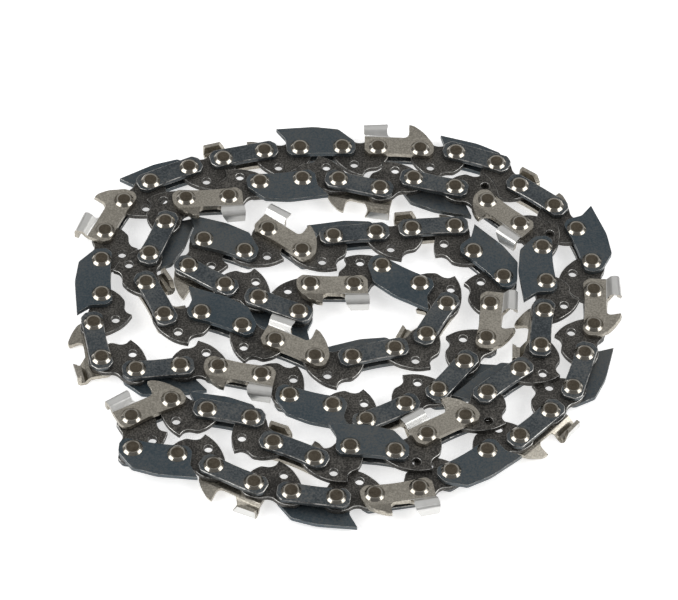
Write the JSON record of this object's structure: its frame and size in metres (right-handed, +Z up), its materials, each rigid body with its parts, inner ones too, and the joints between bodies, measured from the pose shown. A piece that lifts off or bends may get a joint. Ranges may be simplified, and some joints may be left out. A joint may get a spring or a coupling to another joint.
{
  "type": "chainsaw chain",
  "caption": "Low-profile saw chain lying on its side as a closed loop, folded double and coiled: cutters, bumper straps, tie straps and drive links with hooked tangs.",
  "frame": {"origin": "centre of the laid loop's bounding box in X and Y, on the floor that its lowest cutters lie on", "axes": "+Z up along the rivets; +X along the loop's longer side; +Y towards the back of the picture"},
  "size_m": [0.1278, 0.1144, 0.0078],
  "materials": {
    "cutter_chrome": "satin hard chrome",
    "bumper_blued": "blued, satin",
    "strap_blued": "blued, satin",
    "drive_link_steel": "dark tumbled"
  },
  "bodies": {
    "root": {"bumper_strap_left_01": "bumper_blued", "bumper_strap_left_05": "bumper_blued", "bumper_strap_left_09": "bumper_blued", "bumper_strap_left_13": "bumper_blued", "bumper_strap_left_17": "bumper_blued", "bumper_strap_left_21": "bumper_blued", "bumper_strap_left_25": "bumper_blued", "bumper_strap_left_29": "bumper_blued", "bumper_strap_left_33": "bumper_blued", "bumper_strap_left_37": "bumper_blued", "bumper_strap_left_41": "bumper_blued", "bumper_strap_left_45": "bumper_blued", "bumper_strap_left_49": "bumper_blued", "bumper_strap_right_03": "bumper_blued", "bumper_strap_right_07": "bumper_blued", "bumper_strap_right_11": "bumper_blued", "bumper_strap_right_15": "bumper_blued", "bumper_strap_right_19": "bumper_blued", "bumper_strap_right_23": "bumper_blued", "bumper_strap_right_27": "bumper_blued", "bumper_strap_right_31": "bumper_blued", "bumper_strap_right_35": "bumper_blued", "bumper_strap_right_39": "bumper_blued", "bumper_strap_right_43": "bumper_blued", "bumper_strap_right_47": "bumper_blued", "bumper_strap_right_51": "bumper_blued", "cutter_left_02": "cutter_chrome", "cutter_left_06": "cutter_chrome", "cutter_left_10": "cutter_chrome", "cutter_left_14": "cutter_chrome", "cutter_left_18": "cutter_chrome", "cutter_left_22": "cutter_chrome", "cutter_left_26": "cutter_chrome", "cutter_left_30": "cutter_chrome", "cutter_left_34": "cutter_chrome", "cutter_left_38": "cutter_chrome", "cutter_left_42": "cutter_chrome", "cutter_left_46": "cutter_chrome", "cutter_left_50": "cutter_chrome", "cutter_right_04": "cutter_chrome", "cutter_right_08": "cutter_chrome", "cutter_right_12": "cutter_chrome", "cutter_right_16": "cutter_chrome", "cutter_right_20": "cutter_chrome", "cutter_right_24": "cutter_chrome", "cutter_right_28": "cutter_chrome", "cutter_right_32": "cutter_chrome", "cutter_right_36": "cutter_chrome", "cutter_right_40": "cutter_chrome", "cutter_right_44": "cutter_chrome", "cutter_right_48": "cutter_chrome", "cutter_right_52": "cutter_chrome", "drive_links": "drive_link_steel", "tie_straps_left": "strap_blued", "tie_straps_right": "strap_blued"}
  },
  "joints": []
}
